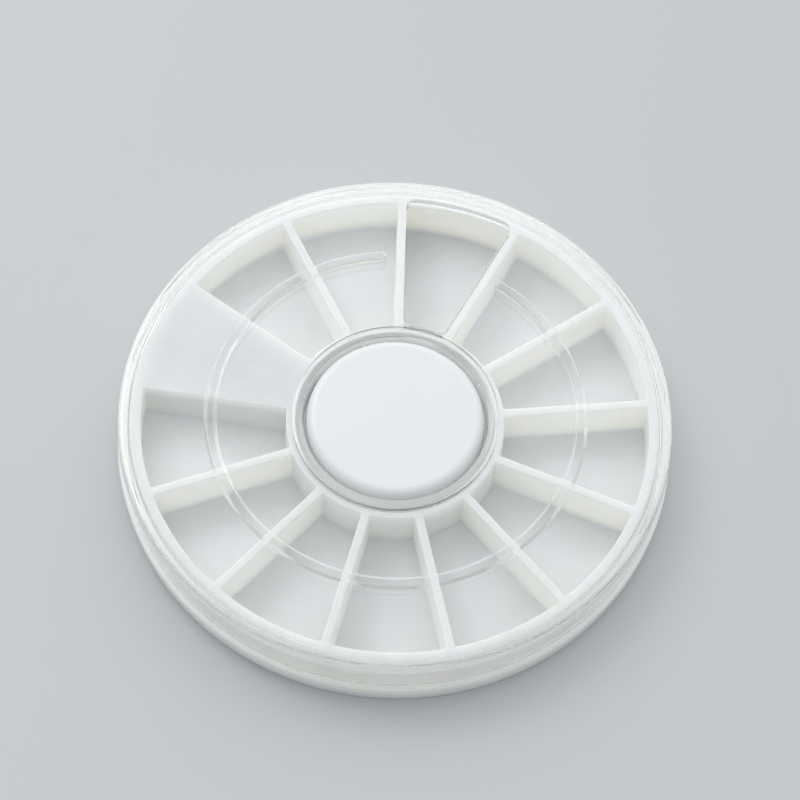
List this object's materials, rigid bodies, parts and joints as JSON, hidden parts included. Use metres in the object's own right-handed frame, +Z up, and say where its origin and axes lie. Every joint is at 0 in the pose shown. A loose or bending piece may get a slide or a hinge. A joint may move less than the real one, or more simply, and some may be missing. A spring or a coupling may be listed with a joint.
{
  "type": "compartment wheel",
  "caption": "Round tray of open sector cells under a clear turning lid with a sector window and a finger ridge, held by a round snap-in button at the hub.",
  "frame": {"origin": "middle of the foot, on the surface the wheel stands on", "axes": "+Z up along the axis that the lid turns on; +Y through the middle of the window and of the cell under it at rest"},
  "size_m": [0.06, 0.06, 0.0081],
  "materials": {
    "tray_plastic": "translucent milky white moulded polypropylene, satin",
    "lid_plastic": "clear polished polystyrene",
    "cap_plastic": "opaque white moulded plastic, glossy"
  },
  "bodies": {
    "base": {"tray": "tray_plastic", "hub_cap": "cap_plastic"},
    "lid": {"lid": "lid_plastic"}
  },
  "joints": [
    {"name": "lid_spin", "type": "hinge", "parent": "base", "child": "lid", "pos_m": [0, 0, 0], "axis": [0, 0, 1], "continuous": true}
  ]
}
